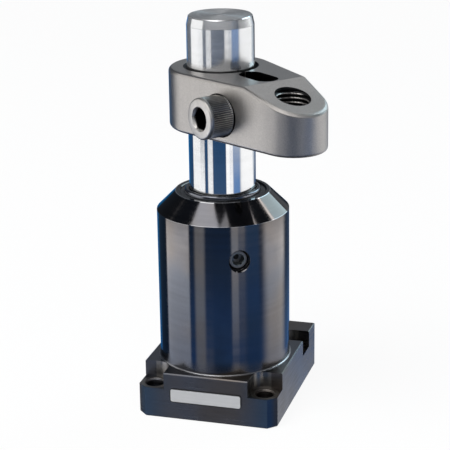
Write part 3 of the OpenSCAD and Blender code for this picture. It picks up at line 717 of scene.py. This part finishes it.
def screw_finish(name, film, face, recess_shade, axis, centre, face_at, socket, crest, bare, socket_shade_share):
    """Oxide film on a screw, with a bare end face, and painted shade in its socket and between its ridges. Heights run
    along the screw's axis. Bare gives the face's radius and how deep it goes, and the last argument the part of the
    socket's width that is shaded."""
    f = Finish(name, Metallic=1.0)
    marks = f.group("Handling", Size=220.0)
    level = UP.cross(axis)
    height = f.less(f.along(axis), axis.dot(centre))
    radius = f.away(f.less(f.along(level), level.dot(centre)), f.less(f.xyz["Z"], centre.z))
    bare_r, bare_deep = bare
    end = f.ramp(height, face_at - bare_deep, face_at - bare_deep / 3)
    end = f.times(end, f.within(radius, bare_r - 0.0004, bare_r))
    shade = f.mix(end, f.tones(marks["Cloud"], film, 0.85, 1.25), f.tones(marks["Cloud"], face, 0.9, 1.08))
    # Painted shade: the inner part of the socket and the roots between the ridges take the dark recess colour.
    inside = f.within(radius, socket * (socket_shade_share - 0.015), socket * socket_shade_share)
    inside = f.times(inside, f.within(height, face_at - socket * 0.2, face_at - socket * 0.12))
    groove = f.ramp(radius, crest - 0.0004, crest - 0.0001, 0.5, 0.0)
    groove = f.times(groove, f.band(height, 0.0005, face_at - 0.0015), f.ramp(radius, socket * 0.65, socket * 0.7))
    f.set(Base_Color=f.mix(f.either(inside, groove), shade, opaque(recess_shade)))
    f.set(Roughness=f.blend(end, f.ramp(marks["Cloud"], 0.0, 1.0, 0.36, 0.46), 0.42))
    f.bump(marks["Speck"], 0.00001, 0.3)
    return f.material


def turned_finish(name, rgb, rough):
    """A turned piece with rings and clouds. Rough is its lowest and highest roughness."""
    f = Finish(name, Metallic=1.0)
    rings = f.group("Turned marks", Rings_per_metre=2200.0)
    marks = f.group("Handling", Size=80.0)
    shade = f.tones(rings["Tone"], rgb, 0.85, 1.12)
    f.set(Base_Color=f.mix(f.times(marks["Cloud"], 0.25), shade, scaled(rgb, 0.7)))
    f.set(Roughness=f.ramp(rings["Tone"], 0.3, 0.7, *rough))
    f.bump(rings["Height"], 0.00001, 0.4)
    return f.material


def moulded_finish(name, rgb, rough):
    """Moulded rubber or resin: a soft cloudy sheen with fine grain. Rough is its lowest and highest roughness."""
    f = Finish(name, Specular_IOR_Level=0.45)
    marks = f.group("Handling", Size=180.0)
    f.set(Base_Color=f.tones(marks["Cloud"], rgb, 0.8, 1.3))
    f.set(Roughness=f.ramp(marks["Cloud"], 0.0, 1.0, *rough))
    f.bump(marks["Speck"], 0.00002, 0.3)
    return f.material


def wiper_finish(rgb, case, inner, outer):
    """Rubber lip with a painted sheen round it: a metallic band in a steel tone between two radii."""
    f = Finish("wiper_lip")
    marks = f.group("Handling", Size=180.0)
    # Painted sheen: a metallic steel-toned band on the lip's outer half gives a thin bright ring.
    cased = f.band(f.away(f.xyz["X"], f.xyz["Y"]), inner, outer, edge=0.00008)
    shade = f.mix(cased, f.tones(marks["Cloud"], rgb, 0.8, 1.3), f.tones(marks["Cloud"], case, 0.85, 1.1))
    gloss = f.blend(cased, f.ramp(marks["Cloud"], 0.0, 1.0, 0.18, 0.28), 0.2)
    f.set(Base_Color=shade, Metallic=cased, Roughness=gloss)
    f.bump(marks["Speck"], 0.00001, 0.2)
    return f.material


def label_finish(rgb, edge):
    """Bare metal plate with a thin dark line at its edge."""
    f = Finish("label_metal")
    low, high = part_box("label_plate")
    half_w, half_h = (high.x - low.x) / 2, (high.z - low.z) / 2
    across = f.past(f.xyz["X"], half_w - LABEL_CORNER)
    height = f.past(f.less(f.xyz["Z"], (low.z + high.z) / 2), half_h - LABEL_CORNER)
    line = f.ramp(f.away(across, height), LABEL_CORNER - 0.00055, LABEL_CORNER - 0.0004)
    grain = f.group("Brushed grain", Stretch=(300.0, 300.0, 6000.0))
    f.set(Base_Color=f.mix(line, f.tones(grain["Tone"], rgb, 0.92, 1.06), opaque(edge)))
    f.set(Roughness=f.blend(line, f.ramp(grain["Tone"], 0.3, 0.7, 0.4, 0.5), 0.55))
    f.set(Metallic=f.blend(line, 0.3, 0.0))
    f.bump(grain["Height"], 0.000004, 0.4)
    return f.material


# Operators


class CLAMP_OT_finishes(bpy.types.Operator):
    """Builds the shared effects and gives the CAD nodes their finishes"""

    bl_idname = "clamp.finishes"
    bl_label = "Finishes"

    def execute(self, context):
        paint = context.scene.clamp_finishes
        GROUPS.update({g.name: g for g in (turned_marks(), brushed_grain(), handling(), light_panel())})
        machined = turned_finish("machined_steel", paint.machined_steel, rough=(0.22, 0.34))
        bronze = turned_finish("bronze", paint.bronze, rough=(0.25, 0.38))
        rubber = moulded_finish("wiper_rubber", paint.wiper_rubber, rough=(0.16, 0.26))
        coat(["body"], black_oxide_finish(paint.black_oxide, paint.edge_highlight))
        coat(["plunger", "guide_balls"], ground_steel_finish(paint.ground_steel))
        coat(["clamp_arm"], satin_steel_finish(paint.satin_steel, paint.recess_shade, context.scene.clamp_sizes))
        coat(["rod_wiper", "cap_o_ring"], rubber)
        coat(["rod_seal", "piston_seal"], moulded_finish("polyurethane", paint.polyurethane, rough=(0.32, 0.45)))
        coat(["guide_bush", "thrust_washer", "ball_cage", "breather"], bronze)
        coat(["end_cap", "cap_key", "cam_post", "post_nut", "gallery_plug", "spring_seat"], machined)
        coat(["retaining_ring"], turned_finish("spring_steel", paint.spring_steel, rough=(0.28, 0.4)))
        coat(["wear_ring"], moulded_finish("wear_resin", paint.wear_resin, rough=(0.45, 0.6)))
        coat(["label_plate"], label_finish(paint.label_metal, paint.label_edge))
        return {"FINISHED"}


class CLAMP_OT_pinch_screw(bpy.types.Operator):
    """Knurled socket-head screw that closes the arm on the plunger"""

    bl_idname = "clamp.pinch_screw"
    bl_label = "Pinch screw"

    def execute(self, context):
        s, paint = context.scene.clamp_sizes, context.scene.clamp_finishes
        turn = angles(s.knurl_ridges * 6)
        head, shank, face = s.head_d / 2, s.shank_d / 2, s.head_h
        edge, tip, plain = 0.0011, 0.0012, 0.014
        lead, chamfer, fillet, thread_deep = 0.0004, 0.0003, 0.0006, 0.0011
        knurl_low, knurl_high = 0.0011, face - 0.0022
        groove = s.knurl_depth * (0.5 - 0.5 * np.cos(s.knurl_ridges * turn)) ** 0.7
        rows = socket_rows(turn, s.head_socket, face * 0.5, face, head - edge)
        rows += bevel_rows(head, head - edge, face - edge, face)
        rows += [(head, knurl_high + lead), (head - groove, knurl_high), (head - groove, knurl_low)]
        rows += [(head, knurl_low - lead), (head - chamfer, 0.0), (shank + fillet, 0.0), (shank, -fillet)]
        rows += [(shank, -plain)]
        rows += thread_rows(turn, -plain - lead, -s.shank_l + tip, shank, shank - thread_deep, s.shank_pitch, steps=6)
        rows += [(shank - tip, -s.shank_l), (0, -s.shank_l)]
        out = heading(s.arm_angle)
        axis = -UP.cross(out)
        centre = out * s.pinch_out + axis * s.pinch_seat + UP * (ARM_BOTTOM + s.pinch_up)
        piece = turned_object("pinch_screw_knurled", rows, turn, centre, axis, UP)
        steel = screw_finish(
            "screw_black", paint.screw_black, paint.screw_face, paint.recess_shade, axis, centre, face, s.head_socket, head,
            bare=(s.head_d, 0.0012), socket_shade_share=0.6,
        )
        settle(piece, "plunger", "screw_black", steel, "pinch_screw")
        return {"FINISHED"}


class CLAMP_OT_arm(bpy.types.Operator):
    """Arm with smooth rounded edges, and the thread in its nose, cut off by the sloping top"""

    bl_idname = "clamp.arm"
    bl_label = "Arm"

    def execute(self, context):
        s = context.scene.clamp_sizes
        arm = smooth_copy("clamp_arm_smooth", "clamp_arm")
        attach(arm, "plunger")
        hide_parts("clamp_arm")
        hole = MOUNTS["contact_bolt_hole"]
        wall = hole["dims"]["r_mm"] / 1000
        x, y, _ = hole["pos_m"]
        columns, thread_deep, bottom, below = 120, 0.0011, 0.0008, 0.0003
        reach = math.hypot(x, y) + wall * np.cos(angles(columns))
        top = ARM_TOP - ARM_BOTTOM - np.maximum(reach - s.crease_out, 0) * math.tan(s.nose_slope) - below
        piece = inside_thread(
            "nose_thread", wall, s.nose_pitch, thread_deep, bottom, top, (x, y, ARM_BOTTOM), UP, heading(s.arm_angle),
            columns,
        )
        settle(piece, "plunger", "satin_steel", NODES["clamp_arm"].data.materials[0])
        return {"FINISHED"}


class CLAMP_OT_lock_screw(bpy.types.Operator):
    """Set screw in the cylinder's side, with the thread of its hole"""

    bl_idname = "clamp.lock_screw"
    bl_label = "Lock screw"

    def execute(self, context):
        s, paint = context.scene.clamp_sizes, context.scene.clamp_finishes
        low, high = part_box("lock_screw")
        axis = heading(s.lock_angle)
        centre = UP * ((low.z + high.z) / 2)
        turn = angles(144)
        crest, face, end = s.lock_d / 2, s.lock_face, s.lock_end
        root = crest - 0.0008
        point_r, point_tip_r, point_side, point_l = 0.003, 0.0026, 0.0018, 0.002
        rows = socket_rows(turn, s.lock_socket, 0.004, face, crest - 0.0009)
        rows += [(crest - 0.0001, face - 0.0007)]
        rows += thread_rows(turn, face - 0.0008, end + 0.0004, crest, root, s.lock_pitch)
        rows += [(root, end), (point_r, end), (point_r, end - point_side), (point_tip_r, end - point_l)]
        rows += [(0, end - point_l)]
        screw = turned_object("lock_screw_threaded", rows, turn, centre, axis, UP)
        steel = screw_finish(
            "lock_black", paint.lock_black, paint.lock_bare, paint.recess_shade, axis, centre, face, s.lock_socket, crest,
            bare=(0.0034, 0.0045), socket_shade_share=0.28,
        )
        settle(screw, "housing", "screw_black", steel, "lock_screw")
        hole = inside_thread(
            "lock_hole_thread", LOCK_HOLE_R, s.lock_pitch, 0.0005, face - 0.001, LOCK_HOLE_MOUTH, centre, axis, UP
        )
        settle(hole, "housing", "black_oxide", NODES["body"].data.materials[0])
        return {"FINISHED"}


class CLAMP_OT_wiper(bpy.types.Operator):
    """Rubber wiper in the neck, with a rounded lip against the plunger"""

    bl_idname = "clamp.wiper"
    bl_label = "Wiper"

    def execute(self, context):
        s, paint = context.scene.clamp_sizes, context.scene.clamp_finishes
        low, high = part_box("rod_wiper")
        inner, outer, bottom, top = s.wiper_inner, high.x, low.z, high.z
        land, lip = NECK_TOP - 0.0006, s.wiper_lip / 2
        lip_out, heel = inner + 2 * lip, inner + 0.001
        bend = np.linspace(0, np.pi, 15)
        rows = [(heel, bottom), (outer, bottom), (outer, land - 0.0004), (outer - 0.0002, land - 0.0001)]
        rows += [(outer - 0.0005, land), (lip_out + 0.0006, land), (lip_out + 0.0002, land + 0.0002)]
        rows += list(zip(inner + lip + lip * np.cos(bend), top - lip + lip * np.sin(bend)))
        rows += [(inner, NECK_TOP - 0.0005), (heel, NECK_TOP - 0.0022), (heel, bottom)]
        piece = turned_object("rod_wiper_lip", rows, angles(160))
        # The lip's material carries a painted sheen band in the spring steel's tone.
        cased = wiper_finish(paint.wiper_rubber, paint.spring_steel, inner + 1.45 * lip, lip_out + 0.0001)
        settle(piece, "housing", "wiper_rubber", cased, "rod_wiper")
        return {"FINISHED"}


class CLAMP_OT_port_thread(bpy.types.Operator):
    """Thread of the oil port in the rear face"""

    bl_idname = "clamp.port_thread"
    bl_label = "Port thread"

    def execute(self, context):
        s = context.scene.clamp_sizes
        port = MOUNTS["oil_port"]
        wall, deep = port["dims"]["r_mm"] / 1000, port["dims"]["length_mm"] / 1000
        x, _, z = port["pos_m"]
        mouth, thread_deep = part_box("body")[1].y - 0.0006, 0.0008
        piece = inside_thread("port_thread", wall, s.port_pitch, thread_deep, -deep, 0.0, (x, mouth, z), (0, 1, 0), UP)
        settle(piece, "housing", "black_oxide", NODES["body"].data.materials[0])
        return {"FINISHED"}


class CLAMP_OT_return_spring(bpy.types.Operator):
    """Round-wire return spring with closed ends"""

    bl_idname = "clamp.return_spring"
    bl_label = "Return spring"

    def execute(self, context):
        s = context.scene.clamp_sizes
        low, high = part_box("return_spring")
        bottom, top = low.z, high.z
        turns = np.linspace(0, s.coil_turns, 260)
        closed = s.coil_closed * 2 * s.wire_r
        knots = [0, s.coil_closed, s.coil_turns - s.coil_closed, s.coil_turns]
        heights = [bottom + s.wire_r, bottom + s.wire_r + closed, top - s.wire_r - closed, top - s.wire_r]
        rise = np.interp(turns, knots, heights)
        swell = np.concatenate([[0.0], np.ones(turns.size), [0.0]])[:, None]
        turns, rise = (np.concatenate([v[:1], v, v[-1:]])[:, None] for v in (turns, rise))
        around = angles(20)[None, :]
        # Ring of wire round each point of the coil, closed to a point at both ends
        radius = s.coil_r + swell * s.wire_r * np.cos(around)
        height = rise + swell * s.wire_r * np.sin(around)
        turn = 2 * np.pi * turns
        points = np.stack([radius * np.cos(turn), radius * np.sin(turn), height], axis=-1)
        piece = surface_object("return_spring_coil", points)
        settle(piece, "housing", "spring_steel", NODES["retaining_ring"].data.materials[0], "return_spring")
        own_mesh(piece)
        return {"FINISHED"}


class CLAMP_OT_stage(bpy.types.Operator):
    """Floor, light panels and camera"""

    bl_idname = "clamp.stage"
    bl_label = "Stage"

    def execute(self, context):
        stage = context.scene.clamp_stage
        context.scene.view_settings.view_transform = "Standard"
        self.floor(stage)
        self.light(context.scene, stage)
        self.camera(context.scene, stage)
        return {"FINISHED"}

    def floor(self, stage):
        """Pale disc that is nearly white for the camera and keeps a faint shadow."""
        below = -0.0002
        disc = turned_object("floor", [(0, below), (stage.floor_r, below)], angles(96))
        f = Finish("floor", Roughness=0.9, Base_Color=opaque(stage.floor))
        white = f.add("ShaderNodeEmission", {"Color": WHITE, "Strength": 1.0}).outputs[0]
        share = f.times(f.seen(), stage.floor_glow)
        mixed = f.add("ShaderNodeMixShader", {0: share, 1: f.shader.outputs[0], 2: white}).outputs[0]
        f.feed(f.tree.nodes["Material Output"].inputs["Surface"], mixed)
        disc.data.materials.append(f.material)
        disc.visible_glossy = False

    def light(self, scene, stage):
        """World that is white for the camera and a dark room with panels for the metal, and a soft lamp overhead that
        shines on matt surfaces."""
        world = bpy.data.worlds.new("studio")
        scene.world = world
        world.use_nodes = True
        t = Tree(world.node_tree)
        xyz = t.parts(t.add("ShaderNodeTexCoord").outputs["Generated"])
        azimuth = t.math("DEGREES", t.math("ARCTAN2", xyz["X"], t.times(xyz["Y"], -1.0)))
        rise = t.math("DEGREES", t.math("ARCSINE", xyz["Z"]))

        def window(*numbers):
            """Mask of one panel: its middle, half width, edge, low and high end in degrees."""
            panel = t.add("ShaderNodeGroup", {"Azimuth": azimuth, "Rise": rise}, node_tree=GROUPS["Light panel"])
            for key, value in zip(("Centre", "Half width", "Edge", "Low", "High"), numbers):
                panel.inputs[key].default_value = value
            return panel.outputs["Mask"]

        light = opaque(stage.ground)
        for low, high, name in ROOM_LAYERS:
            light = t.mix(t.ramp(rise, low, high), light, opaque(getattr(stage, name)))
        behind = t.ramp(t.math("ABSOLUTE", azimuth), *BACK_SIDE)
        behind = t.times(behind, t.ramp(rise, *BACK_FOOT), t.ramp(rise, *BACK_HEAD, 1.0, 0.0))
        wall = t.mix(t.ramp(rise, *BACK_LIT), opaque(stage.back_wall), opaque(stage.back_light))
        light = t.mix(behind, light, wall)
        for *numbers, tone in PANELS:
            light = t.mix(window(*numbers), light, self.panel_colour(stage, tone))
        light = t.tint(light, t.mix(t.ramp(rise, *DIM_RISE), opaque(DIM_TINT), WHITE))
        mirrored = t.times(t.add("ShaderNodeLightPath").outputs["Is Glossy Ray"], window(*BACKGROUND))
        t.feed(t.tree.nodes["Background"].inputs["Color"], t.mix(t.either(t.seen(), mirrored), light, WHITE))
        lamp = bpy.data.lights.new("key", "AREA")
        lamp.shape, lamp.size, lamp.energy = "DISK", stage.key_size, stage.key_power
        key = bpy.data.objects.new("key", lamp)
        place = Vector(stage.key_place)
        key.matrix_world = Matrix.LocRotScale(place, place.to_track_quat("Z", "Y"), None)
        key.visible_glossy = False
        scene.collection.objects.link(key)

    def panel_colour(self, stage, tone):
        """A panel's colour, from its numbers, its name on the stage or a share of the panel light."""
        if isinstance(tone, str):
            return opaque(getattr(stage, tone))
        return opaque(tone) if isinstance(tone, tuple) else opaque([stage.panel_light * tone] * 3)

    def camera(self, scene, stage):
        """Camera at the photograph's place."""
        lens = bpy.data.cameras.new("camera")
        lens.lens, lens.sensor_width = stage.lens, 36
        lens.clip_start, lens.clip_end = 0.01, 50
        camera = bpy.data.objects.new("camera", lens)
        scene.collection.objects.link(camera)
        place = Vector(stage.camera_place)
        look = (Vector(stage.camera_aim) - place).to_track_quat("-Z", "Y")
        roll = Quaternion((0, 0, 1), stage.camera_roll)
        camera.matrix_world = Matrix.LocRotScale(place, look @ roll, None)
        scene.camera = camera


STEPS = (
    CLAMP_OT_finishes,
    CLAMP_OT_pinch_screw,
    CLAMP_OT_arm,
    CLAMP_OT_lock_screw,
    CLAMP_OT_wiper,
    CLAMP_OT_port_thread,
    CLAMP_OT_return_spring,
    CLAMP_OT_stage,
)


class CLAMP_PT_panel(bpy.types.Panel):
    """Lists the steps that dress the clamp"""

    bl_idname = "CLAMP_PT_panel"
    bl_label = "Swing clamp"
    bl_space_type = "VIEW_3D"
    bl_region_type = "UI"
    bl_category = "Clamp"

    def draw(self, context):
        for step in STEPS:
            self.layout.operator(step.bl_idname)


CLASSES = (ClampSizes, ClampFinishes, ClampStage, *STEPS, CLAMP_PT_panel)


def register():
    """Registers the classes and hangs the settings on the scene."""
    for cls in CLASSES:
        bpy.utils.register_class(cls)
    bpy.types.Scene.clamp_sizes = PointerProperty(type=ClampSizes)
    bpy.types.Scene.clamp_finishes = PointerProperty(type=ClampFinishes)
    bpy.types.Scene.clamp_stage = PointerProperty(type=ClampStage)


def unregister():
    """Takes the settings and classes away again."""
    del bpy.types.Scene.clamp_stage
    del bpy.types.Scene.clamp_finishes
    del bpy.types.Scene.clamp_sizes
    for cls in reversed(CLASSES):
        bpy.utils.unregister_class(cls)


def main():
    """Dresses the frame step by step."""
    register()
    for step in STEPS:
        group, name = step.bl_idname.split(".")
        getattr(getattr(bpy.ops, group), name)()


if __name__ == "__main__":
    main()
